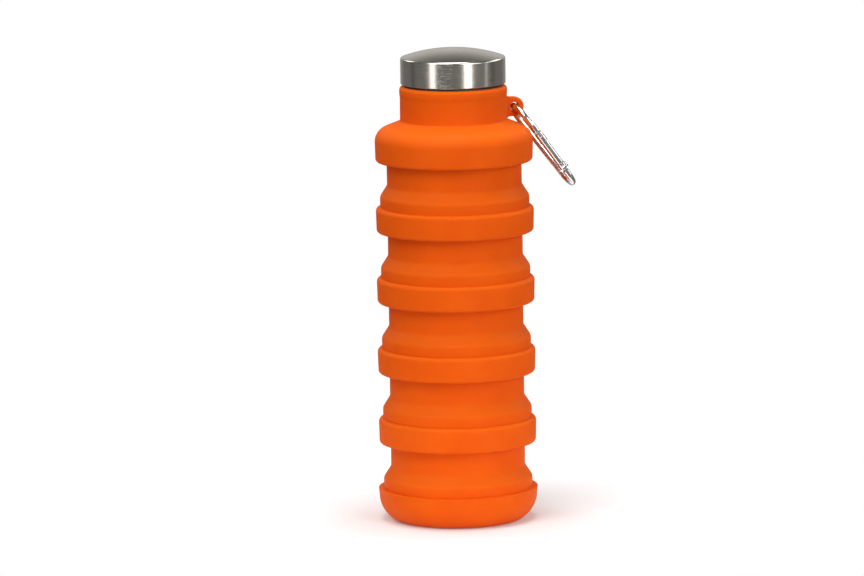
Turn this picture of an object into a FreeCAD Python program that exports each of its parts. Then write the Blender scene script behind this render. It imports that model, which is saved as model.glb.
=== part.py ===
"""Folding silicone water bottle with a steel screw cap and a snap hook.

Every length is in millimetres and every angle in degrees.  The bottle stands on
z = 0 with its axis on the Z axis; the lug and the snap hook are on the +X side.
"""
import FreeCAD
import Part
import Sketcher
import math
import os

Vector = FreeCAD.Vector

# Driving sizes: name, value or formula, meaning.
SIZES = [
    # the folding body
    ("band_radius", "35.0", "outside of every raised band"),
    ("band_foot_radius", "34.7", "outside of a band at its lower edge (draft)"),
    ("band_bore_radius", "32.2", "inside of a band"),
    ("band_height", "11.2", "band, from its ledge up to the crease"),
    ("band_top_round", "1.9", "rounding of the upper band edge"),
    ("band_foot_round", "1.2", "rounding of the lower band edge"),
    ("ledge_thickness", "1.5", "flat ring that joins band and skirt"),
    ("band_bore_round", "1.0", "inner rounding between band and ledge"),
    ("skirt_bore_round", "0.8", "inner rounding between ledge and skirt"),
    ("ledge_round", "0.6", "outer rounding between ledge and skirt"),
    ("skirt_radius", "29.8", "outside of the narrow skirt"),
    ("skirt_bore_radius", "28.2", "inside of the narrow skirt"),
    ("skirt_height", "10.65", "narrow skirt under a band"),
    ("flare_height", "9.6", "thin wall between a skirt and the crease below"),
    ("crease_radius", "33.0", "thin wall where it meets the band below"),
    ("flare_bend_height", "4.6", "bend of the thin wall above the crease"),
    ("flare_bend_bore_height", "4.0", "the same bend on the inside"),
    ("flare_bend_round", "2.5", "outer rounding of that bend"),
    ("flare_bend_bore_round", "1.5", "inner rounding of that bend"),
    ("web_thickness", "1.2", "thin wall that turns inside out"),
    ("fold_pitch", "=band_height + skirt_height + flare_height", "one fold"),
    # the base
    ("base_height", "14.0", "base cup"),
    ("base_corner_height", "11.0", "where the base starts to round in"),
    ("base_corner_radius", "12.14", "large rounding of the base"),
    ("base_foot_radius", "28.0", "edge of the standing face"),
    ("base_foot_round", "1.5", "rounding of that edge"),
    ("base_floor", "3.0", "floor of the bottle"),
    ("base_inner_round", "5.0", "inner rounding of the floor"),
    ("groove_radius", "21.0", "shallow moulded ring under the base, middle"),
    ("groove_depth", "0.6", "depth of that ring, half its width"),
    # the shoulder and the neck, measured up from the shoulder ledge
    ("shoulder_edge", "13.32", "height where wall and cone would meet"),
    ("shoulder_round", "6.7", "rounding between wall and cone"),
    ("cone_top", "17.9", "top of the cone"),
    ("inner_edge", "12.0", "inner cone, lower end"),
    ("inner_edge_round", "4.5", "rounding of that end"),
    ("inner_top", "16.9", "inner cone, upper end"),
    ("neck_radius", "23.6", "outside of the neck"),
    ("neck_draft", "0.1", "extra radius at the foot of the neck"),
    ("neck_foot_round", "0.9", "rounding between cone and neck"),
    ("neck_top_round", "1.8", "upper outer edge of the neck"),
    ("neck_bore_radius", "21.45", "inside of the silicone neck"),
    ("neck_height", "33.45", "top of the silicone neck"),
    ("lug_centre", "27.7", "lug hole from the bottle axis"),
    ("lug_level", "22.75", "lug hole above the shoulder ledge"),
    ("lug_half_height", "4.3", "half the height of the lug"),
    ("lug_round", "4.25", "nearly full round outer end of the lug"),
    ("lug_root", "=neck_bore_radius + 1.2", "start of the lug inside the neck wall"),
    ("lug_thickness", "4.0", "lug, across"),
    ("lug_hole_radius", "2.0", "hole for the snap hook"),
    # the mouth collar, measured up from the top of the silicone neck
    ("collar_radius", "21.4", "skirt inside the silicone neck"),
    ("collar_skirt_bore", "19.2", "inside of that skirt"),
    ("collar_depth", "16.8", "how far the skirt reaches down"),
    ("collar_foot_round", "0.6", "lower outer edge of the skirt"),
    ("funnel_foot", "4.2", "foot of the inner cone, below the silicone top"),
    ("funnel_top", "1.5", "top of the inner cone, below the silicone top"),
    ("flange_radius", "22.2", "thin flange over the silicone"),
    ("flange_thickness", "0.45", "thickness of that flange"),
    ("finish_radius", "19.0", "root of the outer thread"),
    ("finish_height", "9.7", "drinking rim"),
    ("rim_outer_round", "0.6", "outer edge of the rim"),
    ("rim_inner_round", "0.9", "inner edge of the rim"),
    ("mouth_radius", "16.5", "clear opening of the mouth"),
    # the screw thread
    ("thread_lead", "8.0", "rise in one turn, two starts"),
    ("thread_offset", "=thread_lead / 4", "cap ridges midway between mouth ridges"),
    ("thread_gap", "0.3", "radial play between both threads"),
    ("thread_depth", "1.2", "height of a ridge"),
    ("thread_run", "5.5", "axial length of a ridge"),
    ("thread_start", "2.0", "first ridge above the silicone neck"),
    ("ridge_crest", "0.5", "half the width of a ridge at its crest"),
    ("ridge_root", "1.05", "half the width of a ridge at its root"),
    ("ridge_overlap", "0.2", "how deep a ridge is rooted in its wall"),
    # the cap, measured up from its lower rim
    ("cap_level", "0.85", "lower rim of the cap above the silicone neck"),
    ("cap_radius", "23.2", "outside of the steel shell"),
    ("cap_wall_height", "11.6", "straight wall of the shell"),
    ("cap_height", "15.6", "top of the dome"),
    ("steel_thickness", "0.5", "sheet of the shell"),
    ("dome_rise", "=cap_height - cap_wall_height", "dome above the wall"),
    ("dome_radius", "=(cap_radius * cap_radius + dome_rise * dome_rise) / (2 * dome_rise)",
     "outside of the dome, centred on the axis"),
    ("dome_bore_radius", "=dome_radius - steel_thickness", "inside of the dome"),
    ("dome_bore_foot",
     "=cap_height - dome_radius + sqrt(dome_bore_radius * dome_bore_radius"
     " - (cap_radius - steel_thickness) * (cap_radius - steel_thickness))",
     "where the inside of the dome meets the inside of the wall"),
    ("hem_width", "1.25", "lower rim turned inwards"),
    ("hem_round", "0.35", "lower outer edge of the shell"),
    ("cap_edge_round", "1.0", "rounding between wall and dome"),
    ("liner_radius", "22.65", "outside of the plastic liner"),
    ("liner_foot", "0.6", "lower end of the liner"),
    ("liner_plate", "1.4", "top plate of the liner"),
    ("liner_slope_width", "3.5", "slope round the top plate"),
    ("liner_slope_foot", "0.2", "foot of that slope, below the plate"),
    ("gasket_thickness", "1.6", "flat sealing ring"),
    ("gasket_radius", "19.1", "outside of the sealing ring"),
    ("gasket_bore_radius", "15.9", "inside of the sealing ring"),
    # the snap hook, in its own plane
    ("hook_lean", "36.87", "lean of the hanging hook away from the vertical"),
    ("wire_radius", "1.5", "round bar of the hook"),
    ("wide_bend_radius", "8.7", "bend through the lug"),
    ("narrow_bend_radius", "5.5", "bend at the far end"),
    ("leg_length", "29.6", "straight leg between both bends"),
    ("leg_taper", "=atan((wide_bend_radius - narrow_bend_radius) / leg_length) / 1 deg",
     "angle of a leg to the middle line"),
    ("hinge_reach", "24.7", "gate hinge from the wide bend, along the leg"),
    ("hinge_side", "=wide_bend_radius * cos(leg_taper) - hinge_reach * sin(leg_taper)",
     "gate hinge from the middle line"),
    ("hinge_drop",
     "=wide_bend_radius * (1 + sin(leg_taper)) + hinge_reach * cos(leg_taper)",
     "gate hinge below the lug hole"),
    ("nose_length", "3.5", "straight bar between the wide bend and the nose"),
    ("tail_gap", "2.2", "end of the bar below the gate hinge"),
    ("tang_thickness", "1.1", "flat ends of the bar"),
    ("tang_radius", "1.25", "half the width of the hinge tang"),
    ("tang_round", "1.2", "nearly full round end of the hinge tang"),
    ("tang_root", "2.7", "hinge tang rooted in the bar, below the hinge"),
    ("nose_tang_width", "1.35", "flat nose, from the middle of the bar outwards"),
    ("nose_tang_end", "17.8", "end of the flat nose, from the gate hinge"),
    ("nose_tang_round", "0.4", "corners of the flat nose"),
    ("nose_tang_overlap", "0.5", "flat nose rooted in the bar"),
    ("gate_radius", "1.65", "round gate"),
    ("gate_length", "20.3", "gate from its hinge to its free end"),
    ("gate_block_radius", "1.8", "thicker ends of the gate"),
    ("gate_tip_round", "0.5", "free end of the gate"),
    ("gate_ring_low", "2.3", "groove round the gate above its hinge, lower edge"),
    ("gate_ring_high", "2.8", "upper edge of that groove"),
    ("gate_ring_radius", "1.4", "bottom of that groove"),
    ("gate_flange_low", "14.9", "flange below the free end block, lower face"),
    ("gate_flange_high", "15.5", "upper face of that flange"),
    ("gate_flange_radius", "1.95", "outside of that flange"),
    ("slot_half_width", "0.7", "half the width of the gate slots over the flat ends"),
    ("slot_foot", "3.0", "hinge slot below the hinge"),
    ("hinge_slot", "1.9", "hinge slot above the hinge"),
    ("latch_slot", "17.5", "start of the slot at the free end"),
    ("latch_level", "18.9", "latch pin from the hinge"),
    ("latch_offset", "0.55", "latch pin towards the inside of the hook"),
    ("latch_radius", "0.5", "latch pin"),
    ("latch_length", "3.5", "latch pin from end to end"),
    ("latch_play", "0.02", "clearance of the pressed-in latch pin"),
    ("rivet_radius", "0.6", "hinge rivet"),
    ("rivet_head_radius", "1.3", "heads of the rivet"),
    ("rivet_head_height", "0.6", "height of a rivet head"),
    ("rivet_head_round", "0.5", "rounded edge of a rivet head"),
    ("pin_play", "0.05", "running clearance of rivet and plunger"),
    ("rivet_seat", "=gate_block_radius + pin_play", "rivet heads from the middle"),
    ("bore_radius", "0.85", "spring bore in the gate"),
    ("bore_start", "1.5", "start of the spring bore, inside the hinge slot"),
    ("bore_end", "11.0", "blind end of the spring bore"),
    ("plunger_radius", "0.6", "plunger between tang and spring"),
    ("plunger_nose_round", "0.4", "nose of the plunger"),
    ("plunger_length", "2.1", "length of the plunger"),
    ("coil_radius", "0.6", "mean radius of the gate spring"),
    ("coil_wire_radius", "0.12", "wire of the gate spring"),
    ("coil_pitch", "1.2", "pitch of the gate spring"),
    ("coil_height", "7.2", "length of the gate spring"),
    ("coil_play", "0.02", "gap between spring and plunger"),
    # cutters
    ("cut_length", "20.0", "length of every slot and hole cutter"),
    ("cut_margin", "1.0", "how far a cutter starts outside its piece"),
]

RING_COUNT = 4

document = FreeCAD.newDocument("folding_bottle")
sheet = document.addObject("Spreadsheet::Sheet", "Sizes")
for row, (alias, content, meaning) in enumerate(SIZES, start=1):
    sheet.set("A%d" % row, meaning)
    sheet.set("B%d" % row, content)
    sheet.setAlias("B%d" % row, alias)
document.recompute()

SIZE_NAMES = {alias for alias, content, meaning in SIZES}


def value(formula):
    """Number for a sum such as "band_radius - 2.0 + ledge_thickness"."""
    total = 0.0
    sign = 1.0
    for word in str(formula).split():
        if word in "+-":
            sign = 1.0 if word == "+" else -1.0
        else:
            total += sign * float(sheet.get(word) if word in SIZE_NAMES else word)
    return total


def bound(formula):
    """The same sum as an expression that follows the sheet."""
    words = str(formula).split()
    return " ".join("Sizes." + word if word in SIZE_NAMES else word for word in words)


def bind(item, target, formula):
    item.setExpression(target, bound(formula))


def new_body(label, placement=FreeCAD.Placement(), height=None):
    """Body named after its piece; height is a sum that lifts it above z = 0."""
    body = document.addObject("PartDesign::Body", label)
    body.Label = label
    body.Placement = placement
    if height is not None:
        bind(body, "Placement.Base.z", height)
    return body


def new_sketch(body, name, plane):
    sketch = body.newObject("Sketcher::SketchObject", name)
    origin_plane = [item for item in body.Origin.OriginFeatures if item.Role == plane][0]
    sketch.AttachmentSupport = [(origin_plane, "")]
    sketch.MapMode = "FlatFace"
    return sketch


def hold(sketch, kind, places, formula):
    """Constraint with a value that follows the sheet."""
    index = sketch.addConstraint(Sketcher.Constraint(kind, *places, value(formula)))
    bind(sketch, "Constraints[%d]" % index, formula)


def pin_point(sketch, geometry, end, across, up):
    hold(sketch, "DistanceX", (-1, 1, geometry, end), across)
    hold(sketch, "DistanceY", (-1, 1, geometry, end), up)


def arc_between(start, end, centre):
    """Arc of less than half a turn; also tells whether it runs backwards."""
    first = math.atan2(start.y - centre.y, start.x - centre.x)
    last = math.atan2(end.y - centre.y, end.x - centre.x)
    sweep = (last - first) % (2 * math.pi)
    backwards = sweep > math.pi
    if backwards:
        first, sweep = last, 2 * math.pi - sweep
    circle = Part.Circle(centre, Vector(0, 0, 1), (start - centre).Length)
    return Part.ArcOfCircle(circle, first, first + sweep), backwards


def draw_outline(body, name, plane, corners, arcs=None):
    """Closed outline through corners (across, up[, rounding]), all sums of sizes.

    arcs gives the radius of a side that bulges to the right of its run.
    """
    sketch = new_sketch(body, name, plane)
    arcs = arcs or {}
    count = len(corners)
    points = [Vector(value(corner[0]), value(corner[1]), 0) for corner in corners]
    starts = list(points)
    ends = list(points)
    centres = {}
    for i, corner in enumerate(corners):
        if len(corner) < 3:
            continue
        back = (points[i - 1] - points[i]).normalize()
        ahead = (points[(i + 1) % count] - points[i]).normalize()
        half = back.getAngle(ahead) / 2
        radius = value(corner[2])
        ends[i] = points[i] + back * (radius / math.tan(half))
        starts[i] = points[i] + ahead * (radius / math.tan(half))
        centres[i] = points[i] + (back + ahead).normalize() * (radius / math.sin(half))

    side_ends = []
    for i in range(count):
        start, end = starts[i], ends[(i + 1) % count]
        if i in arcs:
            radius = value(arcs[i])
            chord = end - start
            inwards = Vector(-chord.y, chord.x, 0).normalize()
            depth = math.sqrt(radius ** 2 - (chord.Length / 2) ** 2)
            arc, backwards = arc_between(start, end, start + chord * 0.5 + inwards * depth)
            sketch.addGeometry(arc, False)
            side_ends.append((2, 1) if backwards else (1, 2))
        else:
            sketch.addGeometry(Part.LineSegment(start, end), False)
            side_ends.append((1, 2))
    for i, radius in arcs.items():
        hold(sketch, "Radius", (i,), radius)

    for i, corner in enumerate(corners):
        before = (i - 1) % count
        arrive = side_ends[before][1]
        leave = side_ends[i][0]
        if i not in centres:
            sketch.addConstraint(Sketcher.Constraint("Coincident", before, arrive, i, leave))
            pin_point(sketch, i, leave, corner[0], corner[1])
            continue
        arc, backwards = arc_between(ends[i], starts[i], centres[i])
        arc_id = sketch.addGeometry(arc, False)
        arc_in, arc_out = (2, 1) if backwards else (1, 2)
        corner_id = sketch.addGeometry(Part.Point(points[i]), True)
        sketch.addConstraint([
            Sketcher.Constraint("Tangent", before, arrive, arc_id, arc_in),
            Sketcher.Constraint("Tangent", arc_id, arc_out, i, leave),
            Sketcher.Constraint("PointOnObject", corner_id, 1, before),
            Sketcher.Constraint("PointOnObject", corner_id, 1, i)])
        hold(sketch, "Radius", (arc_id,), corner[2])
        pin_point(sketch, corner_id, 1, corner[0], corner[1])
    return sketch


def draw_circle(body, name, plane, across, up, radius):
    sketch = new_sketch(body, name, plane)
    centre = Vector(value(across), value(up), 0)
    sketch.addGeometry(Part.Circle(centre, Vector(0, 0, 1), value(radius)), False)
    pin_point(sketch, 0, 3, across, up)
    hold(sketch, "Radius", (0,), radius)
    return sketch


def revolve(body, name, sketch, axis="V_Axis", kind="Revolution"):
    feature = body.newObject("PartDesign::" + kind, name)
    feature.Profile = (sketch, [""])
    feature.ReferenceAxis = (sketch, [axis])
    feature.Angle = 360
    document.recompute()
    return feature


def pad(body, name, sketch, length):
    """Material on both sides of the sketch, length in total."""
    feature = body.newObject("PartDesign::Pad", name)
    feature.Profile = (sketch, [""])
    feature.SideType = "Symmetric"
    bind(feature, "Length", length)
    document.recompute()
    return feature


def cut_through(body, name, sketch):
    """Cut on both sides of the sketch, checked to have taken material away."""
    before = body.Shape.Volume
    feature = body.newObject("PartDesign::Pocket", name)
    feature.Profile = (sketch, [""])
    feature.SideType = "Symmetric"
    bind(feature, "Length", "cut_length")
    document.recompute()
    if body.Shape.Volume >= before:
        raise RuntimeError(name + " cut nothing")
    return feature


def round_circles(body, name, circles, radius):
    """Round full circular edges, each given as (radius, height) sums in the body."""
    inside = body.Tip.Shape
    edges = []
    for ring_radius, height in circles:
        for index, edge in enumerate(inside.Edges, start=1):
            if edge.Degenerated or not isinstance(edge.Curve, Part.Circle):
                continue
            circle = edge.Curve
            if (abs(circle.Radius - value(ring_radius)) < 0.02
                    and abs(circle.Center.z - value(height)) < 0.02):
                edges.append("Edge%d" % index)
    if len(edges) != len(circles):
        raise RuntimeError(name + ": edges found %d" % len(edges))
    feature = body.newObject("PartDesign::Fillet", name)
    feature.Base = (feature.BaseFeature, edges)
    bind(feature, "Radius", radius)
    document.recompute()
    return feature


def make_base_cup():
    body = new_body("base_cup")
    sketch = draw_outline(body, "BaseOutline", "XZ_Plane", [
        ("0", "0"),
        ("groove_radius - groove_depth", "0"),
        ("groove_radius", "groove_depth"),
        ("groove_radius + groove_depth", "0"),
        ("base_foot_radius", "0"),
        ("band_radius", "base_corner_height"),
        ("band_radius", "base_height", "band_top_round"),
        ("band_bore_radius", "base_height"),
        ("band_bore_radius", "base_floor", "base_inner_round"),
        ("0", "base_floor"),
    ], arcs={4: "base_corner_radius"})
    revolve(body, "BaseWall", sketch)
    round_circles(body, "StandingEdge", [("base_foot_radius", "0")], "base_foot_round")
    return body


def make_body_ring(number):
    """Band with its skirt, drawn from the crease on top of the band downwards."""
    folds_below = RING_COUNT + 1 - number
    height = "base_height" + " + fold_pitch" * folds_below
    body = new_body("body_ring_%d" % number, height=height)
    skirt_foot = "0 - band_height - skirt_height"
    sketch = draw_outline(body, "RingOutline%d" % number, "XZ_Plane", [
        ("band_bore_radius", "0"),
        ("band_bore_radius", "ledge_thickness - band_height", "band_bore_round"),
        ("skirt_bore_radius", "ledge_thickness - band_height", "skirt_bore_round"),
        ("skirt_bore_radius", skirt_foot),
        ("skirt_radius", skirt_foot),
        ("skirt_radius", "0 - band_height", "ledge_round"),
        ("band_foot_radius", "0 - band_height", "band_foot_round"),
        ("band_radius", "0", "band_top_round"),
    ])
    revolve(body, "RingWall%d" % number, sketch)
    return body


def make_fold_web(number):
    """Thin wall above a crease; it turns inside out when the bottle folds."""
    folds_below = RING_COUNT + 1 - number
    height = "base_height" + " + fold_pitch" * folds_below
    body = new_body("fold_web_%d" % number, height=height)
    sketch = draw_outline(body, "WebOutline%d" % number, "XZ_Plane", [
        ("crease_radius - web_thickness", "0"),
        ("crease_radius", "0"),
        ("crease_radius", "flare_bend_height", "flare_bend_round"),
        ("skirt_radius", "flare_height"),
        ("skirt_bore_radius", "flare_height"),
        ("crease_radius - web_thickness", "flare_bend_bore_height", "flare_bend_bore_round"),
    ])
    revolve(body, "WebWall%d" % number, sketch)
    return body


SHOULDER_LEVEL = "base_height" + " + fold_pitch" * RING_COUNT + " + flare_height + skirt_height"


def make_neck_shoulder():
    """Silicone shoulder, neck and lug, drawn from the shoulder ledge."""
    body = new_body("neck_shoulder", height=SHOULDER_LEVEL)
    sketch = draw_outline(body, "ShoulderOutline", "XZ_Plane", [
        ("skirt_radius", "0 - skirt_height"),
        ("skirt_radius", "0", "ledge_round"),
        ("band_foot_radius", "0", "band_foot_round"),
        ("band_radius", "shoulder_edge", "shoulder_round"),
        ("neck_radius + neck_draft", "cone_top", "neck_foot_round"),
        ("neck_radius", "neck_height", "neck_top_round"),
        ("neck_bore_radius", "neck_height"),
        ("neck_bore_radius", "inner_top"),
        ("band_bore_radius", "inner_edge", "inner_edge_round"),
        ("band_bore_radius", "ledge_thickness", "band_bore_round"),
        ("skirt_bore_radius", "ledge_thickness", "skirt_bore_round"),
        ("skirt_bore_radius", "0 - skirt_height"),
    ])
    revolve(body, "ShoulderWall", sketch)
    lug_sketch = draw_outline(body, "LugOutline", "XZ_Plane", [
        ("lug_root", "lug_level - lug_half_height"),
        ("lug_centre + lug_half_height", "lug_level - lug_half_height", "lug_round"),
        ("lug_centre + lug_half_height", "lug_level + lug_half_height", "lug_round"),
        ("lug_root", "lug_level + lug_half_height"),
    ])
    pad(body, "Lug", lug_sketch, "lug_thickness")
    hole_sketch = draw_circle(body, "LugHoleOutline", "XZ_Plane",
                              "lug_centre", "lug_level", "lug_hole_radius")
    cut_through(body, "LugHole", hole_sketch)
    return body


NECK_TOP = SHOULDER_LEVEL + " + neck_height"


def add_ridges(body, name, root_radius, crest_radius, start):
    """Two helical ridges half a turn apart, from root to crest."""
    sketch = draw_outline(body, name + "Outline", "XZ_Plane", [
        (root_radius, start + " - ridge_root"),
        (crest_radius, start + " - ridge_crest"),
        (crest_radius, start + " + ridge_crest"),
        (root_radius, start + " + ridge_root"),
    ])
    ridge = body.newObject("PartDesign::AdditiveHelix", name)
    ridge.Profile = (sketch, [""])
    ridge.ReferenceAxis = (sketch, ["V_Axis"])
    ridge.Mode = "pitch-height-angle"
    bind(ridge, "Pitch", "thread_lead")
    bind(ridge, "Height", "thread_run")
    document.recompute()
    pattern = body.newObject("PartDesign::PolarPattern", name + "Starts")
    pattern.Originals = [ridge]
    pattern.Axis = (sketch, ["V_Axis"])
    pattern.Angle = 360
    pattern.Occurrences = 2
    document.recompute()
    body.Tip = pattern
    document.recompute()
    return pattern


def make_mouth_collar():
    """Plastic mouth in the silicone neck, drawn from the top of the silicone."""
    body = new_body("mouth_collar", height=NECK_TOP)
    sketch = draw_outline(body, "CollarOutline", "XZ_Plane", [
        ("collar_skirt_bore", "0 - collar_depth"),
        ("collar_radius", "0 - collar_depth", "collar_foot_round"),
        ("collar_radius", "0"),
        ("flange_radius", "0"),
        ("flange_radius", "flange_thickness"),
        ("finish_radius", "flange_thickness"),
        ("finish_radius", "finish_height", "rim_outer_round"),
        ("mouth_radius", "finish_height", "rim_inner_round"),
        ("mouth_radius", "0 - funnel_top"),
        ("collar_skirt_bore", "0 - funnel_foot"),
    ])
    revolve(body, "CollarWall", sketch)
    add_ridges(body, "OuterThread", "finish_radius - ridge_overlap", "finish_radius + thread_depth",
               "thread_start")
    return body


CAP_LEVEL = NECK_TOP + " + cap_level"
GASKET_TOP = "finish_height - cap_level + gasket_thickness"


def make_cap_shell():
    """Domed sheet-steel shell with its lower rim turned inwards."""
    body = new_body("cap_shell", height=CAP_LEVEL)
    outline = draw_outline(body, "ShellOutline", "XZ_Plane", [
        ("0", "0"),
        ("cap_radius", "0", "hem_round"),
        ("cap_radius", "cap_wall_height"),
        ("0", "cap_height"),
    ], arcs={2: "dome_radius"})
    revolve(body, "ShellBlank", outline)
    round_circles(body, "ShellEdge", [("cap_radius", "cap_wall_height")], "cap_edge_round")
    hollow = draw_outline(body, "HollowOutline", "XZ_Plane", [
        ("0", "0 - cut_margin"),
        ("cap_radius - hem_width", "0 - cut_margin"),
        ("cap_radius - hem_width", "steel_thickness"),
        ("cap_radius - steel_thickness", "steel_thickness"),
        ("cap_radius - steel_thickness", "dome_bore_foot"),
        ("0", "cap_height - steel_thickness"),
    ], arcs={4: "dome_bore_radius"})
    before = body.Shape.Volume
    revolve(body, "ShellHollow", hollow, kind="Groove")
    if body.Shape.Volume > before * 0.5:
        raise RuntimeError("the cap shell was not hollowed")
    return body


def make_cap_liner():
    """Threaded plastic liner inside the shell."""
    body = new_body("cap_liner", height=CAP_LEVEL)
    thread_root = "finish_radius + thread_depth + thread_gap"
    sketch = draw_outline(body, "LinerOutline", "XZ_Plane", [
        (thread_root, "liner_foot"),
        ("liner_radius", "liner_foot"),
        ("liner_radius", GASKET_TOP + " - liner_slope_foot"),
        ("liner_radius - liner_slope_width", GASKET_TOP + " + liner_plate"),
        ("0", GASKET_TOP + " + liner_plate"),
        ("0", GASKET_TOP),
        (thread_root, GASKET_TOP),
    ])
    revolve(body, "LinerWall", sketch)
    add_ridges(body, "InnerThread", thread_root + " + ridge_overlap",
               "finish_radius + thread_gap", "thread_start - cap_level + thread_offset")
    return body


def make_cap_gasket():
    body = new_body("cap_gasket", height=NECK_TOP + " + finish_height")
    sketch = draw_outline(body, "GasketOutline", "XZ_Plane", [
        ("gasket_bore_radius", "0"),
        ("gasket_radius", "0"),
        ("gasket_radius", "gasket_thickness"),
        ("gasket_bore_radius", "gasket_thickness"),
    ])
    revolve(body, "GasketRing", sketch)
    return body


# The hook hangs from the lug hole: its own Z axis runs along its length, its own
# Y axis across it, and its own X axis out of its plane.
HOOK_PLACE = FreeCAD.Placement(
    Vector(value("lug_centre"), 0, value(SHOULDER_LEVEL + " + lug_level")),
    FreeCAD.Rotation(Vector(0, 1, 0), -value("hook_lean")))

# The gate leg: origin at the gate hinge, Z axis along the leg towards the nose.
LEG_IN_HOOK = FreeCAD.Placement(
    Vector(0, -value("hinge_side"), -value("hinge_drop")),
    FreeCAD.Rotation(Vector(1, 0, 0), value("leg_taper")))
LEG_PLACE = HOOK_PLACE.multiply(LEG_IN_HOOK)


def draw_run(body, name, heading, pieces):
    """Open path in the YZ plane from the origin, made of tangent bends and straights.

    pieces: ("bend", radius, degrees) turns clockwise or, with heading 180, the
    other way round; ("straight", length).
    """
    sketch = new_sketch(body, name, "YZ_Plane")
    turn = 1.0 if heading == 180 else -1.0
    direction = math.radians(heading)
    position = Vector(0, 0, 0)
    last = None
    for index, piece in enumerate(pieces):
        if piece[0] == "bend":
            radius, sweep = value(piece[1]), math.radians(value(piece[2]))
            side = direction + turn * math.pi / 2
            centre = position + Vector(math.cos(side), math.sin(side), 0) * radius
            direction += turn * sweep
            side = direction + turn * math.pi / 2
            end = centre - Vector(math.cos(side), math.sin(side), 0) * radius
            first = math.atan2(position.y - centre.y, position.x - centre.x)
            circle = Part.Circle(centre, Vector(0, 0, 1), radius)
            angles = (first, first + sweep) if turn > 0 else (first - sweep, first)
            sketch.addGeometry(Part.ArcOfCircle(circle, *angles), False)
            hold(sketch, "Radius", (index,), piece[1])
            ends = (1, 2) if turn > 0 else (2, 1)
        else:
            length = value(piece[1])
            end = position + Vector(math.cos(direction), math.sin(direction), 0) * length
            sketch.addGeometry(Part.LineSegment(position, end), False)
            hold(sketch, "Distance", (index,), piece[1])
            ends = (1, 2)
        if last is None:
            sketch.addConstraint(Sketcher.Constraint("Coincident", index, ends[0], -1, 1))
            sketch.addConstraint(Sketcher.Constraint("PointOnObject", index, 3, -2))
        else:
            sketch.addConstraint(
                Sketcher.Constraint("Tangent", index - 1, last, index, ends[0]))
        last = ends[1]
        position = end
    return sketch


def sweep_bar(body, name, path):
    """Round bar along a path that leaves the origin across the hook."""
    profile = draw_circle(body, name + "Section", "XZ_Plane", "0", "0", "wire_radius")
    pipe = body.newObject("PartDesign::AdditivePipe", name)
    pipe.Profile = (profile, [""])
    pipe.Spine = (path, [])
    document.recompute()
    return pipe


def on_leg(sketch):
    """Move a sketch of the hook to the gate hinge and turn it along the leg."""
    sketch.AttachmentOffset = FreeCAD.Placement(
        Vector(-value("hinge_side"), -value("hinge_drop"), 0),
        FreeCAD.Rotation(Vector(0, 0, 1), value("leg_taper")))
    sketch.setExpression("AttachmentOffset.Base.x", "-Sizes.hinge_side")
    sketch.setExpression("AttachmentOffset.Base.y", "-Sizes.hinge_drop")
    return sketch


def make_carabiner_frame():
    body = new_body("carabiner_frame", HOOK_PLACE)
    spine = draw_run(body, "SpineRun", 0, [
        ("bend", "wide_bend_radius", "90 + leg_taper"),
        ("straight", "leg_length"),
        ("bend", "narrow_bend_radius", "180 - leg_taper - leg_taper"),
        ("straight", "leg_length - hinge_reach - tail_gap"),
    ])
    sweep_bar(body, "Spine", spine)
    nose = draw_run(body, "NoseRun", 180, [
        ("bend", "wide_bend_radius", "90 + leg_taper"),
        ("straight", "nose_length"),
    ])
    sweep_bar(body, "Nose", nose)
    hinge_tang = on_leg(draw_outline(body, "HingeTangOutline", "YZ_Plane", [
        ("0 - tang_radius", "0 - tang_root"),
        ("tang_radius", "0 - tang_root"),
        ("tang_radius", "tang_radius", "tang_round"),
        ("0 - tang_radius", "tang_radius", "tang_round"),
    ]))
    pad(body, "HingeTang", hinge_tang, "tang_thickness")
    nose_foot = "hinge_reach - nose_length + nose_tang_overlap"
    nose_tang = on_leg(draw_outline(body, "NoseTangOutline", "YZ_Plane", [
        ("0 - nose_tang_width", "nose_tang_end", "nose_tang_round"),
        ("0", "nose_tang_end", "nose_tang_round"),
        ("0", nose_foot),
        ("0 - nose_tang_width", nose_foot),
    ]))
    pad(body, "NoseTang", nose_tang, "tang_thickness")
    hole = on_leg(draw_circle(body, "RivetHoleOutline", "YZ_Plane",
                              "0", "0", "rivet_radius + pin_play"))
    cut_through(body, "RivetHole", hole)
    return body


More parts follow.
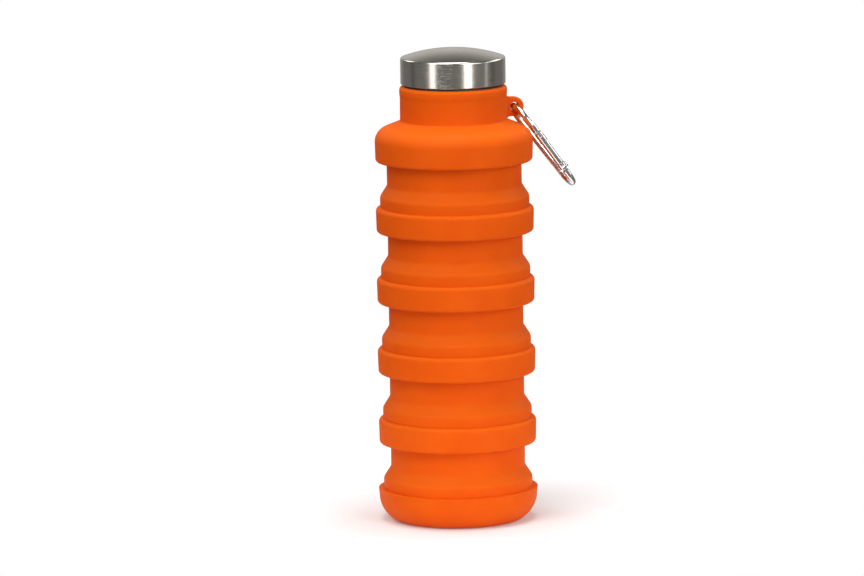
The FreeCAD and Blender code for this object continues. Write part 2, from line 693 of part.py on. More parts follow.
def make_carabiner_gate():
    """Round gate, slotted over both flat ends of the bar and bored for its spring."""
    body = new_body("carabiner_gate", LEG_PLACE)
    outline = draw_outline(body, "GateOutline", "XZ_Plane", [
        ("0", "0 - gate_block_radius"),
        ("gate_block_radius", "0"),
        ("gate_block_radius", "gate_ring_low"),
        ("gate_ring_radius", "gate_ring_low"),
        ("gate_ring_radius", "gate_ring_high"),
        ("gate_radius", "gate_ring_high"),
        ("gate_radius", "gate_flange_low"),
        ("gate_flange_radius", "gate_flange_low"),
        ("gate_flange_radius", "gate_flange_high"),
        ("gate_block_radius", "gate_flange_high"),
        ("gate_block_radius", "gate_length", "gate_tip_round"),
        ("0", "gate_length"),
    ], arcs={0: "gate_block_radius"})
    revolve(body, "GateBar", outline)
    for name, low, high in (("HingeSlot", "0 - slot_foot", "hinge_slot"),
                            ("LatchSlot", "latch_slot", "gate_length + cut_margin")):
        slot = draw_outline(body, name + "Outline", "XZ_Plane", [
            ("0 - slot_half_width", low),
            ("slot_half_width", low),
            ("slot_half_width", high),
            ("0 - slot_half_width", high),
        ])
        cut_through(body, name, slot)
    bore = draw_outline(body, "BoreOutline", "XZ_Plane", [
        ("0", "bore_start"),
        ("bore_radius", "bore_start"),
        ("bore_radius", "bore_end"),
        ("0", "bore_end"),
    ])
    revolve(body, "SpringBore", bore, kind="Groove")
    rivet_hole = draw_circle(body, "GateRivetOutline", "YZ_Plane",
                             "0", "0", "rivet_radius + pin_play")
    cut_through(body, "GateRivetHole", rivet_hole)
    pin_hole = draw_circle(body, "GatePinOutline", "YZ_Plane",
                           "latch_offset", "latch_level", "latch_radius + latch_play")
    cut_through(body, "GatePinHole", pin_hole)
    return body


def make_gate_hinge_rivet():
    body = new_body("gate_hinge_rivet", LEG_PLACE)
    outline = draw_outline(body, "RivetOutline", "XY_Plane", [
        ("0 - rivet_seat - rivet_head_height", "0"),
        ("0 - rivet_seat - rivet_head_height", "rivet_head_radius", "rivet_head_round"),
        ("0 - rivet_seat", "rivet_head_radius"),
        ("0 - rivet_seat", "rivet_radius"),
        ("rivet_seat", "rivet_radius"),
        ("rivet_seat", "rivet_head_radius"),
        ("rivet_seat + rivet_head_height", "rivet_head_radius", "rivet_head_round"),
        ("rivet_seat + rivet_head_height", "0"),
    ])
    revolve(body, "Rivet", outline, axis="H_Axis")
    return body


def make_gate_latch_pin():
    body = new_body("gate_latch_pin", LEG_PLACE)
    section = draw_circle(body, "PinSection", "YZ_Plane",
                          "latch_offset", "latch_level", "latch_radius")
    pad(body, "Pin", section, "latch_length")
    return body


PLUNGER_FOOT = "tang_radius + pin_play"


def make_gate_plunger():
    """Round-nosed pusher between the hinge tang and the spring."""
    body = new_body("gate_plunger", LEG_PLACE)
    outline = draw_outline(body, "PlungerOutline", "XZ_Plane", [
        ("0", PLUNGER_FOOT),
        ("plunger_radius", PLUNGER_FOOT, "plunger_nose_round"),
        ("plunger_radius", PLUNGER_FOOT + " + plunger_length"),
        ("0", PLUNGER_FOOT + " + plunger_length"),
    ])
    revolve(body, "Plunger", outline)
    return body


def make_gate_spring():
    body = new_body("gate_spring", LEG_PLACE)
    foot = PLUNGER_FOOT + " + plunger_length + coil_play + coil_wire_radius"
    section = draw_circle(body, "CoilSection", "XZ_Plane", "coil_radius", foot,
                          "coil_wire_radius")
    coil = body.newObject("PartDesign::AdditiveHelix", "Coil")
    coil.Profile = (section, [""])
    coil.ReferenceAxis = (section, ["V_Axis"])
    coil.Mode = "pitch-height-angle"
    bind(coil, "Pitch", "coil_pitch")
    bind(coil, "Height", "coil_height")
    document.recompute()
    return body


pieces = [make_base_cup()]
pieces += [make_body_ring(number) for number in range(1, RING_COUNT + 1)]
pieces += [make_fold_web(number) for number in range(1, RING_COUNT + 2)]
pieces += [
    make_neck_shoulder(),
    make_mouth_collar(),
    make_cap_shell(),
    make_cap_liner(),
    make_cap_gasket(),
    make_carabiner_frame(),
    make_carabiner_gate(),
    make_gate_hinge_rivet(),
    make_gate_latch_pin(),
    make_gate_plunger(),
    make_gate_spring(),
]
document.recompute()

for item in document.Objects:
    if "Invalid" in item.State or "Error" in item.State:
        raise RuntimeError("%s is in state %s" % (item.Label, item.State))

os.makedirs("parts", exist_ok=True)
for piece in pieces:
    if piece.Shape.isNull() or not piece.Shape.isValid():
        raise RuntimeError(piece.Label + " has no valid shape")
    if len(piece.Shape.Solids) != 1:
        raise RuntimeError("%s has %d solids" % (piece.Label, len(piece.Shape.Solids)))
    piece.Shape.exportStep("parts/%s.step" % piece.Label)
    print("%-18s %9.1f mm3" % (piece.Label, piece.Shape.Volume))
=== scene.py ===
"""Looks for the folding silicone bottle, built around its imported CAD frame.

Lengths in the tables are in millimetres; Blender works in metres.  The bottle
stands on z = 0, its axis is Z, and its lug and snap hook are on the +X side.
"""
import math

import bmesh
import bpy
from mathutils import Matrix, Vector, noise


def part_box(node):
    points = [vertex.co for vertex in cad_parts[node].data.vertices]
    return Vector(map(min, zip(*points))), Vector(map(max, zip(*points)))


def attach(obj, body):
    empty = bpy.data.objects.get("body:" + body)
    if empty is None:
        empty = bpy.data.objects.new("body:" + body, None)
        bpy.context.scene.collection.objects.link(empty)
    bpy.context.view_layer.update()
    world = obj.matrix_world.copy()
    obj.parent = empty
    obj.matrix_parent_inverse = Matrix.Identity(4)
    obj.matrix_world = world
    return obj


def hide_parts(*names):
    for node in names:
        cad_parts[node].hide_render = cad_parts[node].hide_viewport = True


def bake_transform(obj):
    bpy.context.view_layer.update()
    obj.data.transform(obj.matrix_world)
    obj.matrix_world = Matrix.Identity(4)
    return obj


MM = 0.001
RING_COUNT = 4
SEGMENTS = 192  # steps round a lathed piece
SHARP_EDGE = math.radians(38)  # edges sharper than this stay crisp

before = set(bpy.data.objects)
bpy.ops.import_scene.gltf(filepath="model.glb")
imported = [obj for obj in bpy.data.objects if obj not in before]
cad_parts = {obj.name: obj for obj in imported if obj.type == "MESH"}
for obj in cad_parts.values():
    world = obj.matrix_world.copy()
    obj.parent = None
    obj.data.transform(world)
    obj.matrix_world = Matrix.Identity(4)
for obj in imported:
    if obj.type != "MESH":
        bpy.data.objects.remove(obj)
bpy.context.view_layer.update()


# ---------------------------------------------------------------- outlines and lathes

def rounded(corners, degrees_per_step=12.0):
    """Points of a closed outline whose corners are (across, up[, rounding])."""
    count = len(corners)
    points = []
    for i, corner in enumerate(corners):
        here = Vector(corner[:2])
        if len(corner) < 3:
            points.append(here)
            continue
        back = (Vector(corners[i - 1][:2]) - here).normalized()
        ahead = (Vector(corners[(i + 1) % count][:2]) - here).normalized()
        half = back.angle(ahead) / 2
        reach = corner[2] / math.tan(half)
        centre = here + (back + ahead).normalized() * (corner[2] / math.sin(half))
        start = here + back * reach - centre
        sweep = math.pi - 2 * half
        turn = 1.0 if back.x * ahead.y - back.y * ahead.x < 0 else -1.0
        steps = max(3, round(math.degrees(sweep) / degrees_per_step))
        for step in range(steps + 1):
            angle = turn * sweep * step / steps
            points.append(centre + Matrix.Rotation(angle, 2) @ start)
    return points


def divided(points, longest, closed=True):
    """The same outline with no side longer than the given length."""
    result = []
    count = len(points)
    for i in range(count if closed else count - 1):
        a, b = points[i], points[(i + 1) % count]
        parts = max(1, math.ceil((b - a).length / longest))
        result += [a.lerp(b, part / parts) for part in range(parts)]
    if not closed:
        result.append(points[-1])
    return result


def finish_mesh(name, maker):
    """Object from a bmesh, with outward faces and smooth shading."""
    bmesh.ops.recalc_face_normals(maker, faces=maker.faces)
    mesh = bpy.data.meshes.new(name)
    maker.to_mesh(mesh)
    maker.free()
    for polygon in mesh.polygons:
        polygon.use_smooth = True
    mesh.set_sharp_from_angle(angle=SHARP_EDGE)
    thing = bpy.data.objects.new(name, mesh)
    bpy.context.scene.collection.objects.link(thing)
    return thing


def even_angles(count):
    return [2 * math.pi * i / count for i in range(count)]


def lathe(name, points, base=0.0, angles=None, shape=None):
    """Closed solid of revolution; points on the axis become poles.

    shape(radius, angle, height) may return a corrected radius.
    """
    angles = angles or even_angles(SEGMENTS)
    maker = bmesh.new()
    loops = []
    for radius, height in points:
        level = base + height
        if radius < 1e-6:
            loops.append([maker.verts.new((0, 0, level * MM))] * len(angles))
            continue
        loop = []
        for angle in angles:
            r = shape(radius, angle, level) if shape else radius
            loop.append(maker.verts.new((r * math.cos(angle) * MM,
                                         r * math.sin(angle) * MM, level * MM)))
        loops.append(loop)
    for i, loop in enumerate(loops):
        following = loops[(i + 1) % len(loops)]
        for j in range(len(angles)):
            k = (j + 1) % len(angles)
            corners = [loop[j], loop[k], following[k], following[j]]
            corners = list(dict.fromkeys(corners))
            if len(corners) > 2:
                maker.faces.new(corners)
    return finish_mesh(name, maker)


# ---------------------------------------------------------------- silicone body

BAND_RADIUS = 35.0
BAND_BORE = 32.2  # inside of a band at its crease and at its foot
BAND_HOLLOW = BAND_BORE + 0.95  # wider inside between the two
SKIRT_RADIUS = 29.8
SKIRT_BORE = 28.2
CREASE_RADIUS = 33.0  # outside of a web where it leaves the band below
WEB_THICKNESS = 1.2
BAND_HEIGHT = 11.2
FLARE_HEIGHT = 9.6
SKIRT_HEIGHT = 10.65
LEDGE_THICKNESS = 1.5
WEB_COLLAR = 1.2  # straight end of a web, level with the skirt above it
STEP_LENGTH = 2.5  # longest side of a lathed outline
WEB_STEP_LENGTH = 0.45  # shorter on a web, which turns inside out
PARTING_LINES = (0.0, math.pi)  # seams of the mould, where the two halves met
PARTING_HEIGHT = 0.09
PARTING_WIDTH = 0.22
UNEVENNESS = 0.11  # large soft waves of the surface
RIPPLE = 0.04  # smaller ones on top of them


def level_of(node, top=True):
    """Height of a CAD node's top or foot, in millimetres."""
    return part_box(node)[1 if top else 0].z / MM


def mould_angles():
    """Even steps round the bottle, with extra ones at both mould parting lines."""
    angles = even_angles(SEGMENTS)
    for line in PARTING_LINES:
        angles += [line + math.radians(offset) for offset in (-0.7, -0.35, 0.35, 0.7)]
    return sorted(angle % (2 * math.pi) for angle in angles)


def hand_moulded(radius, angle, level):
    """Radius with the slight unevenness of soft silicone and its parting lines."""
    across = Vector((math.cos(angle), math.sin(angle), level * 0.025)) * 1.4
    uneven = UNEVENNESS * noise.noise(across) + RIPPLE * noise.noise(across * 4.0)
    from_line = min(angle % math.pi, math.pi - angle % math.pi) * radius
    ridge = PARTING_HEIGHT * math.exp(-(from_line / PARTING_WIDTH) ** 2)
    return radius + uneven + ridge


def stand_for(piece, node, material, body=None):
    """Paints a piece and puts it in its CAD node's place, on that node's body."""
    piece.data.materials.clear()
    piece.data.materials.append(material)
    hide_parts(node)
    if body:
        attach(piece, body)


def silicone_piece(name, corners, base, node, body, longest=STEP_LENGTH):
    """Lathed silicone piece that stands for one CAD node."""
    points = divided(rounded(corners), longest)
    piece = lathe(name, points, base, mould_angles(), hand_moulded)
    stand_for(piece, node, silicone, body)
    return piece


def band_and_skirt(number):
    """One ring, from its crease on top of the band down to the foot of its skirt."""
    ledge = -BAND_HEIGHT
    foot = ledge - SKIRT_HEIGHT + WEB_COLLAR
    silicone_piece("silicone_ring_%d" % number, [
        (BAND_BORE, -0.02, 0.2),
        (BAND_HOLLOW, -1.2, 1.0),
        (BAND_HOLLOW, -7.0, 2.0),
        (BAND_BORE, ledge + LEDGE_THICKNESS, 1.0),
        (SKIRT_BORE, ledge + LEDGE_THICKNESS, 0.8),
        (SKIRT_BORE, foot),
        (SKIRT_RADIUS, foot),
        (SKIRT_RADIUS, ledge, 0.7),
        (BAND_RADIUS - 0.3, ledge, 1.3),
        (BAND_RADIUS, -0.02, 1.9),
    ], level_of("body_ring_%d" % number), "body_ring_%d" % number, "ring_%d" % number)


def fold_web(number):
    """Thin wall that turns inside out between the body below and the one above."""
    crease = level_of("fold_web_%d" % number, top=False)
    inner = CREASE_RADIUS - WEB_THICKNESS
    piece = silicone_piece("silicone_web_%d" % number, [
        (inner, 0.0),
        (CREASE_RADIUS, 0.0),
        (CREASE_RADIUS, 4.6, 2.5),
        (SKIRT_RADIUS, FLARE_HEIGHT, 2.5),
        (SKIRT_RADIUS, FLARE_HEIGHT + WEB_COLLAR),
        (SKIRT_BORE, FLARE_HEIGHT + WEB_COLLAR),
        (SKIRT_BORE, FLARE_HEIGHT, 2.0),
        (inner, 4.0, 1.5),
    ], crease, "fold_web_%d" % number, None, WEB_STEP_LENGTH)
    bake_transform(piece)


def base_cup():
    """Base with a standing ring, a shallow groove and the mark of the mould gate."""
    arc_centre = Vector((22.86, 11.0))
    arc_radius = 12.14
    arc_start = math.radians(-64)
    arc_steps = 14
    beside = (40.0, 12.0)  # only closes each outline; it isn't part of the base
    outer_arc = []
    for step in range(arc_steps + 1):
        angle = arc_start * (1 - step / arc_steps)
        outer_arc.append(arc_centre + Vector((math.cos(angle), math.sin(angle))) * arc_radius)
    underside = rounded([
        (0.0, 0.35),
        (1.6, 0.35, 0.2),
        (2.0, 0.0, 0.2),
        (20.4, 0.0, 0.3),
        (21.0, 0.6, 0.25),
        (21.6, 0.0, 0.3),
        (27.4, 0.0, 1.2),
        tuple(outer_arc[0]),
        beside,
    ])[:-1]
    inside = rounded([
        beside,
        (BAND_RADIUS, 14.0, 1.9),
        (BAND_BORE, 14.0, 0.2),
        (BAND_HOLLOW, 12.8, 1.0),
        (BAND_HOLLOW, 9.5, 2.0),
        (BAND_BORE, 3.0, 5.0),
        (0.0, 3.0),
        (0.0, 10.0),
    ])[1:-1]
    points = underside[:-1] + outer_arc + inside
    piece = lathe("silicone_base", divided(points, STEP_LENGTH, closed=False), 0.0,
                  mould_angles(), hand_moulded)
    stand_for(piece, "base_cup", silicone, "base")


def lug_mesh():
    """Flat eye with rounded edges that widens where it grows out of the neck.

    Rings of points run round the hole; a section goes from the wall of the hole
    over both faces to the outer edge.
    """
    hole_x = 27.7
    hole_z = level_of("neck_shoulder", top=False) + SKIRT_HEIGHT + 22.75
    hole_radius, half_height = 2.0, 4.3
    root_x, inner_x = 23.4, 22.2  # where it meets the neck, and its end inside the wall
    root_width = 0.7  # how far out the widening at the root reaches
    steps = 96
    section = []
    for side in (-1, 1):
        outer = [(1, -0.95 * (1 - math.sin(a)), side * (1.05 + 0.95 * math.cos(a)))
                 for a in (math.pi / 2 * step / 5 for step in range(6))]
        inner = [(0, 0.55 * (1 - math.sin(a)), side * (1.45 + 0.55 * math.cos(a)))
                 for a in (math.pi / 2 * step / 4 for step in range(5))]
        middle = [(0.3, 0.0, side * 2.0), (0.48, 0.0, side * 2.0)]
        half = outer[::-1] + middle[::-1] + inner
        section += half if side < 0 else half[::-1]
    maker = bmesh.new()
    rings = []
    for i in range(steps):
        around = 2 * math.pi * i / steps
        reach = half_height
        if math.cos(around) < 0:
            for _ in range(12):  # the flare depends on the reach, which settles
                x = hole_x + reach * math.cos(around)
                flare = 1.6 * math.exp(-max(0.0, x - root_x) / root_width)
                reach = (half_height + flare) / max(0.05, abs(math.sin(around)))
                reach = min(reach, (hole_x - inner_x) / -math.cos(around))
        ring = []
        for place, offset, across in section:
            distance = hole_radius + place * (reach - hole_radius) + offset
            x = hole_x + distance * math.cos(around)
            z = hole_z + distance * math.sin(around)
            wider = 1.0 + 0.45 * math.exp(-max(0.0, x - root_x) / root_width)
            ring.append(maker.verts.new((x * MM, across * wider * MM, z * MM)))
        rings.append(ring)
    for i, ring in enumerate(rings):
        following = rings[(i + 1) % steps]
        for j in range(len(section)):
            k = (j + 1) % len(section)
            maker.faces.new((ring[j], ring[k], following[k], following[j]))
    return finish_mesh("lug_shape", maker)


def neck_and_shoulder():
    """Shoulder and neck, with a soft bead round the mouth and the lug joined on."""
    ledge = level_of("neck_shoulder", top=False) + SKIRT_HEIGHT
    points = divided(rounded([
        (SKIRT_RADIUS, WEB_COLLAR - SKIRT_HEIGHT),
        (SKIRT_RADIUS, 0.0, 0.7),
        (34.7, 0.0, 1.3),
        (35.0, 13.32, 6.7),
        (23.62, 17.9, 0.9),
        (23.54, 28.4, 8.0),
        (23.76, 30.0, 6.0),
        (23.76, 33.42, 1.8),
        (21.45, 33.42, 0.12),
        (21.45, 16.9, 0.5),
        (BAND_BORE, 12.0, 4.5),
        (BAND_BORE, LEDGE_THICKNESS, 1.0),
        (SKIRT_BORE, LEDGE_THICKNESS, 0.8),
        (SKIRT_BORE, WEB_COLLAR - SKIRT_HEIGHT),
    ], degrees_per_step=8.0), STEP_LENGTH)
    piece = lathe("silicone_shoulder", points, ledge, mould_angles(), hand_moulded)
    lug = lug_mesh()
    join = piece.modifiers.new("lug", "BOOLEAN")
    join.operation = "UNION"
    join.solver = "EXACT"
    join.object = lug
    depsgraph = bpy.context.evaluated_depsgraph_get()
    joined = bpy.data.meshes.new_from_object(piece.evaluated_get(depsgraph))
    piece.modifiers.clear()
    piece.data = joined
    bpy.data.objects.remove(lug)
    stand_for(piece, "neck_shoulder", silicone, "neck")


# ---------------------------------------------------------------- materials

def new_material(name, **settings):
    """Principled material; settings are written on the shader's own sockets."""
    material = bpy.data.materials.new(name)
    material.use_nodes = True
    shader = material.node_tree.nodes["Principled BSDF"]
    for socket, content in settings.items():
        shader.inputs[socket.replace("_", " ")].default_value = content
    return material, material.node_tree, shader


def add_node(tree, kind, inputs=None, **settings):
    """New node; an input is a number, a colour or another node's output."""
    node = tree.nodes.new(kind)
    for setting, content in settings.items():
        setattr(node, setting, content)
    for socket, content in (inputs or {}).items():
        if isinstance(content, bpy.types.NodeSocket):
            tree.links.new(content, node.inputs[socket])
        else:
            node.inputs[socket].default_value = content
    return node


def calculate(tree, operation, first, second=None):
    """Result of a maths node; its inputs are numbers or other nodes' outputs."""
    inputs = {0: first}
    if second is not None:
        inputs[1] = second
    return add_node(tree, "ShaderNodeMath", inputs, operation=operation).outputs[0]


def remap(tree, content, low, high, to_low, to_high):
    """Stretches the range low to high onto to_low to to_high, and clamps it."""
    return add_node(tree, "ShaderNodeMapRange",
                    {"Value": content, "From Min": low, "From Max": high,
                     "To Min": to_low, "To Max": to_high}).outputs["Result"]


def noise_of(tree, vector, scale, detail=2.0, roughness=0.5):
    return add_node(tree, "ShaderNodeTexNoise",
                    {"Vector": vector, "Scale": scale, "Detail": detail,
                     "Roughness": roughness}).outputs["Fac"]


def mixed_colour(tree, share, first, second):
    mix = add_node(tree, "ShaderNodeMix", data_type="RGBA")
    tree.links.new(share, mix.inputs["Factor"])
    for socket, content in ((6, first), (7, second)):
        if isinstance(content, bpy.types.NodeSocket):
            tree.links.new(content, mix.inputs[socket])
        else:
            mix.inputs[socket].default_value = (*content, 1.0)
    return mix.outputs[2]


def bump(tree, height, distance, strength=1.0, normal=None):
    inputs = {"Height": height, "Distance": distance, "Strength": strength}
    if normal is not None:
        inputs["Normal"] = normal
    return add_node(tree, "ShaderNodeBump", inputs).outputs["Normal"]


def place_of(tree):
    return add_node(tree, "ShaderNodeTexCoord").outputs["Object"]


def silicone_material():
    """Satin silicone: fine moulded grain, faint mottling, pale dust specks, and a yellower
    painted highlight on what faces up.
    """
    material, tree, shader = new_material(
        "silicone_orange", Roughness=0.6, Specular_IOR_Level=0.08)
    place = place_of(tree)
    mottle = noise_of(tree, place, 60.0, 4.0)
    colour = mixed_colour(tree, remap(tree, mottle, 0.35, 0.65, 0.0, 1.0),
                          (0.775, 0.0925, 0.0016), (0.810, 0.1045, 0.0023))
    # painted highlight: surfaces that face up get a yellower orange, standing in for the brighter
    # light that falls on them
    facing = add_node(tree, "ShaderNodeTexCoord").outputs["Normal"]
    facing_up = add_node(tree, "ShaderNodeSeparateXYZ", {0: facing}).outputs["Z"]
    painted_highlight_tint = remap(tree, facing_up, 0.1, 0.8, 0.0, 1.0)
    colour = mixed_colour(tree, painted_highlight_tint, colour, (0.765, 0.120, 0.003))
    specks = noise_of(tree, place, 420.0, 6.0, 0.65)
    dusty = remap(tree, specks, 0.62, 0.8, 0.0, 0.05)
    colour = mixed_colour(tree, dusty, colour, (0.9, 0.42, 0.2))
    tree.links.new(colour, shader.inputs["Base Color"])
    grain = noise_of(tree, place, 2600.0, 3.0)
    rough = remap(tree, noise_of(tree, place, 110.0, 3.0), 0.3, 0.7, 0.54, 0.66)
    tree.links.new(rough, shader.inputs["Roughness"])
    normal = bump(tree, grain, 0.00004, 0.35)
    normal = bump(tree, mottle, 0.00012, 0.25, normal)
    tree.links.new(normal, shader.inputs["Normal"])
    return material


def round_the_axis(tree):
    """Angle, radius and height of a point, counted from the bottle's axis."""
    x, y, z = add_node(tree, "ShaderNodeSeparateXYZ", {0: place_of(tree)}).outputs
    angle = calculate(tree, "ARCTAN2", y, x)
    radius = calculate(tree, "SQRT", calculate(
        tree, "ADD", calculate(tree, "MULTIPLY", x, x), calculate(tree, "MULTIPLY", y, y)))
    return angle, radius, z


def cylinder_place(tree, around, along):
    """Coordinates that follow the turning marks of a lathe: long around the axis."""
    angle, radius, z = round_the_axis(tree)
    combine = add_node(tree, "ShaderNodeCombineXYZ", {
        "X": calculate(tree, "MULTIPLY", angle, around),
        "Y": calculate(tree, "MULTIPLY", radius, along),
        "Z": calculate(tree, "MULTIPLY", z, along)})
    return combine.outputs[0]


def worn_patch(tree):
    """One where the cap wall is scratched most, on its front left, fading to a trace."""
    angle, radius, _ = round_the_axis(tree)
    worn_side = math.radians(-114.0)
    aside = calculate(tree, "ABSOLUTE", calculate(tree, "SUBTRACT", angle, worn_side))
    on_wall = remap(tree, radius, 22.4 * MM, 23.0 * MM, 0.0, 1.0)
    return calculate(tree, "MULTIPLY", on_wall, remap(tree, aside, 0.10, 0.17, 1.0, 0.12))


def brushed_steel():
    """Stainless steel with turned brush marks round the axis of the cap."""
    material, tree, shader = new_material(
        "brushed_steel", Metallic=1.0, Roughness=0.17, Anisotropic=0.75)
    tangent = add_node(tree, "ShaderNodeTangent", direction_type="RADIAL", axis="Z")
    tree.links.new(tangent.outputs[0], shader.inputs["Tangent"])
    marks = noise_of(tree, cylinder_place(tree, 5.0, 5200.0), 1.0, 3.0, 0.6)
    strokes = noise_of(tree, cylinder_place(tree, 6.0, 4600.0), 1.0, 3.0, 0.7)
    scratch = calculate(tree, "MULTIPLY", worn_patch(tree),
                        remap(tree, strokes, 0.52, 0.64, 0.0, 1.0))
    tone = remap(tree, marks, 0.3, 0.7, 0.0, 1.0)
    colour = mixed_colour(tree, tone, (0.57, 0.54, 0.505), (0.68, 0.65, 0.615))
    colour = mixed_colour(tree, scratch, colour, (0.76, 0.73, 0.69))
    tree.links.new(colour, shader.inputs["Base Color"])
    rough = calculate(tree, "ADD", remap(tree, marks, 0.3, 0.7, 0.13, 0.17),
                      calculate(tree, "MULTIPLY", scratch, 0.2))
    tree.links.new(rough, shader.inputs["Roughness"])
    normal = bump(tree, marks, 0.00001, 0.12)
    normal = bump(tree, scratch, 0.00001, 0.3, normal)
    tree.links.new(normal, shader.inputs["Normal"])
    return material


def polished_metal(name, low, high, roughness):
    """Bright plated metal with faint wear and fine random scratches."""
    material, tree, shader = new_material(name, Metallic=1.0, Roughness=roughness)
    place = place_of(tree)
    wear = noise_of(tree, place, 420.0, 4.0)
    colour = mixed_colour(tree, remap(tree, wear, 0.35, 0.65, 0.0, 1.0), low, high)
    tree.links.new(colour, shader.inputs["Base Color"])
    fine = noise_of(tree, place, 2400.0, 3.0, 0.7)
    rough = calculate(tree, "ADD", remap(tree, wear, 0.4, 0.7, roughness * 0.7, roughness * 1.5),
                      remap(tree, fine, 0.62, 0.75, 0.0, 0.06))
    tree.links.new(rough, shader.inputs["Roughness"])
    tree.links.new(bump(tree, fine, 0.00001, 0.04), shader.inputs["Normal"])
    return material


def moulded_plastic(name, low, high, roughness):
    """Polypropylene or rubber with a fine grain."""
    material, tree, shader = new_material(name, Roughness=roughness)
    place = place_of(tree)
    mottle = noise_of(tree, place, 150.0, 3.0)
    colour = mixed_colour(tree, remap(tree, mottle, 0.35, 0.65, 0.0, 1.0), low, high)
    tree.links.new(colour, shader.inputs["Base Color"])
    fine = noise_of(tree, place, 1800.0, 3.0)
    tree.links.new(remap(tree, fine, 0.3, 0.7, roughness * 0.85, roughness * 1.2),
                   shader.inputs["Roughness"])
    tree.links.new(bump(tree, fine, 0.00003, 0.3), shader.inputs["Normal"])
    return material


def paint_node(node, material):
    """Gives a CAD node that keeps its shape its own material."""
    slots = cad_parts[node].data.materials
    slots.clear()
    slots.append(material)


silicone = silicone_material()
steel = brushed_steel()
# name, darkest and lightest colour, roughness
hook_metal = polished_metal("hook_metal", (0.80, 0.80, 0.81), (0.90, 0.90, 0.90), 0.10)
pin_metal = polished_metal("pin_metal", (0.62, 0.62, 0.63), (0.75, 0.75, 0.76), 0.16)
# painted shade: the mouth collar is near black so that the gap under the cap reads as a dark
# shadow line
collar_plastic = moulded_plastic(
    "collar_plastic", (0.022, 0.021, 0.020), (0.034, 0.033, 0.031), 0.4)
liner_plastic = moulded_plastic(
    "liner_plastic", (0.018, 0.018, 0.019), (0.030, 0.030, 0.031), 0.42)
gasket_rubber = moulded_plastic(
    "gasket_rubber", (0.72, 0.72, 0.70), (0.80, 0.80, 0.77), 0.5)

paint_node("cap_shell", steel)
paint_node("cap_liner", liner_plastic)
paint_node("mouth_collar", collar_plastic)
for node in ("carabiner_frame", "carabiner_gate"):
    paint_node(node, hook_metal)
for node in ("gate_hinge_rivet", "gate_latch_pin", "gate_plunger", "gate_spring"):
    paint_node(node, pin_metal)


# ---------------------------------------------------------------- the bottle

def sealing_ring():
    """Flat ring between the liner and the rim of the mouth."""
    inner, outer, thickness, rounding = 15.9, 19.1, 1.6, 0.25
    corners = [(inner, 0.0), (outer, 0.0), (outer, thickness), (inner, thickness)]
    outline = rounded([(*corner, rounding) for corner in corners])
    ring = lathe("sealing_ring", outline, level_of("cap_gasket", top=False))
    stand_for(ring, "cap_gasket", gasket_rubber, "cap_seal")


base_cup()
for number in range(1, RING_COUNT + 1):
    band_and_skirt(number)
for number in range(1, RING_COUNT + 2):
    fold_web(number)
neck_and_shoulder()
sealing_ring()


# ---------------------------------------------------------------- studio

CAMERA_AZIMUTH = -16.0
CAMERA_DISTANCE = 2.934
CAMERA_HEIGHT = 0.560
CAMERA_ROLL = -0.8
CAMERA_LENS = 279.5
AIM = Vector((-0.01012, 0.0029, 0.1031))
LIGHTS_AIM = Vector((0.0, 0.0, 0.11))

WHITE = (1.0, 1.0, 1.0)
WARM_WHITE = (1.0, 0.985, 0.95)
SOFTBOXES = [
    # name, azimuth, distance, height, width, tall, power, colour
    ("key", -32.0, 1.0, 1.2, 1.2, 1.0, 12.5, WHITE),
    ("front_fill", 40.0, 1.4, 0.6, 1.2, 1.0, 5.9, WHITE),
    ("rim", 96.0, 1.2, 0.56, 0.7, 0.3, 1.7, WHITE),
    ("back_left", -125.0, 1.3, 0.9, 0.6, 0.6, 3.0, WHITE),
    ("back_right", 130.0, 1.3, 0.9, 0.6, 0.6, 3.0, WHITE),
    ("overhead", 0.0, 0.02, 1.5, 0.7, 0.7, 10.0, WHITE),
    ("left_strip", -45.2, 1.5, 0.35, 0.36, 1.3, 2.9, WARM_WHITE),
    ("right_strip", 33.0, 1.5, 0.35, 0.44, 1.3, 4.9, WARM_WHITE),
    ("side_strip", 78.0, 1.5, 0.35, 0.09, 1.3, 0.35, WARM_WHITE),
]

FLOOR_RADIUS = 0.18
FLOOR_GAP = 0.0002  # keeps the floor from coinciding with the underside of the base


def from_bottle(azimuth, distance, height):
    """Point at an azimuth counted from the camera's, positive to the camera's right.

    Azimuths are in degrees; distances and heights in the studio are in metres.
    """
    angle = math.radians(CAMERA_AZIMUTH + azimuth)
    return Vector((math.sin(angle) * distance, -math.cos(angle) * distance, height))


def aimed(thing, target, roll=0.0):
    """Turns a lamp or the camera towards a point."""
    direction = target - thing.location
    turned = direction.to_track_quat("-Z", "Y").to_matrix().to_4x4()
    turned = turned @ Matrix.Rotation(math.radians(roll), 4, "Z")
    thing.rotation_euler = turned.to_euler()


def softbox(name, azimuth, distance, height, width, tall, power, colour):
    """Rectangular soft light; the tall strips are what the steel cap mirrors."""
    light = bpy.data.lights.new(name, "AREA")
    light.shape = "RECTANGLE"
    light.size, light.size_y = width, tall
    light.energy = power
    light.color = colour
    thing = bpy.data.objects.new(name, light)
    bpy.context.scene.collection.objects.link(thing)
    thing.location = from_bottle(azimuth, distance, height)
    aimed(thing, LIGHTS_AIM)


def make_camera():
    """Long lens from slightly above, at the height and angle of a product shot."""
    camera = bpy.data.cameras.new("camera")
    camera.lens = CAMERA_LENS
    camera.sensor_width = 36.0
    camera.clip_end = 50.0
    thing = bpy.data.objects.new("camera", camera)
    bpy.context.scene.collection.objects.link(thing)
    thing.location = from_bottle(0.0, CAMERA_DISTANCE, CAMERA_HEIGHT)
    aimed(thing, AIM, CAMERA_ROLL)
    bpy.context.scene.camera = thing


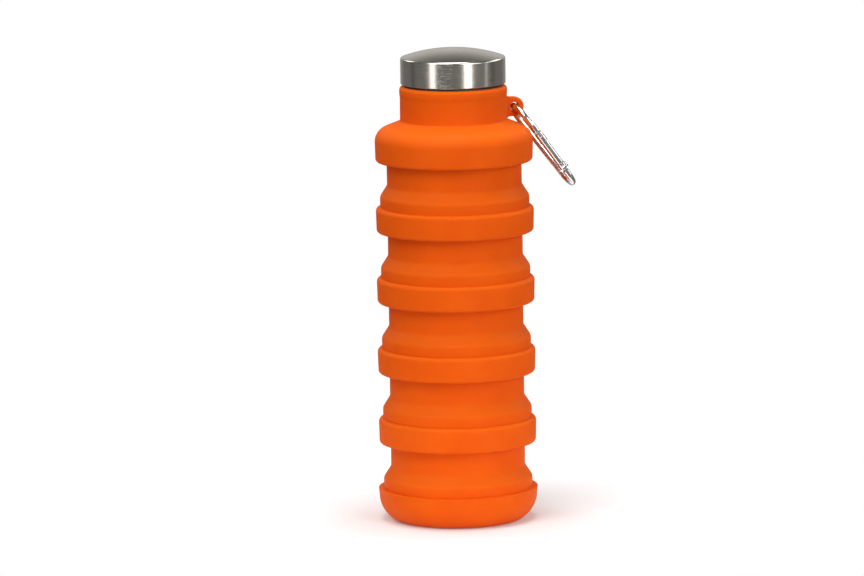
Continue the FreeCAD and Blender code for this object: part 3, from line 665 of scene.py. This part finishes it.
def make_world():
    """Even studio: white to look at, dimmer in what it lights and reflects."""
    world = bpy.data.worlds.new("studio")
    bpy.context.scene.world = world
    world.use_nodes = True
    tree = world.node_tree
    tree.nodes.clear()
    direction = add_node(tree, "ShaderNodeTexCoord").outputs["Generated"]
    up = add_node(tree, "ShaderNodeSeparateXYZ", {0: direction}).outputs["Z"]
    away = add_node(tree, "ShaderNodeVectorMath", operation="DOT_PRODUCT")
    tree.links.new(direction, away.inputs[0])
    away.inputs[1].default_value = -from_bottle(0.0, 1.0, 0.0)
    # a bright wall behind the bottle, strongest at the bottle's own height
    behind = remap(tree, away.outputs["Value"], 0.72, 0.98, 0.0, 0.48)
    band = calculate(tree, "MULTIPLY", remap(tree, up, -0.1, 0.25, 0.45, 1.0),
                     remap(tree, up, 0.4, 0.85, 1.0, 0.0))
    # dim everywhere else, and dimmest in a strip just behind both sides of the bottle
    beside = calculate(tree, "ABSOLUTE", calculate(tree, "SUBTRACT", away.outputs["Value"], 0.15))
    shaded = calculate(tree, "MULTIPLY", remap(tree, up, 0.0, 0.35, 0.19, 0.15),
                       remap(tree, beside, 0.0, 0.16, 0.5, 1.0))
    strength = calculate(tree, "ADD", calculate(tree, "MULTIPLY", behind, band), shaded)
    dim = add_node(tree, "ShaderNodeBackground", {"Color": (1.0, 0.96, 0.91, 1.0)})
    tree.links.new(strength, dim.inputs["Strength"])
    white = add_node(tree, "ShaderNodeBackground", {"Color": (1, 1, 1, 1), "Strength": 1.0})
    seen = add_node(tree, "ShaderNodeLightPath").outputs["Is Camera Ray"]
    mix = add_node(tree, "ShaderNodeMixShader", {0: seen})
    tree.links.new(dim.outputs[0], mix.inputs[1])
    tree.links.new(white.outputs[0], mix.inputs[2])
    output = add_node(tree, "ShaderNodeOutputWorld")
    tree.links.new(mix.outputs[0], output.inputs["Surface"])


def make_floor():
    """Small pale disc that glows towards its rim, so that its edge melts away."""
    maker = bmesh.new()
    bmesh.ops.create_circle(maker, cap_ends=True, segments=96, radius=FLOOR_RADIUS)
    floor = finish_mesh("floor", maker)
    floor.location.z = -FLOOR_GAP
    material, tree, shader = new_material("floor", Roughness=0.9)
    shader.inputs["Base Color"].default_value = (0.78, 0.78, 0.78, 1.0)
    shader.inputs["Emission Color"].default_value = (1.0, 1.0, 1.0, 1.0)
    from_middle = add_node(tree, "ShaderNodeVectorMath", operation="LENGTH")
    tree.links.new(place_of(tree), from_middle.inputs[0])
    glow = remap(tree, from_middle.outputs["Value"], 0.045, 0.14, 0.12, 0.32)
    tree.links.new(glow, shader.inputs["Emission Strength"])
    floor.data.materials.append(material)


bpy.context.scene.view_settings.view_transform = "Standard"
make_world()
make_floor()
for settings in SOFTBOXES:
    softbox(*settings)
make_camera()
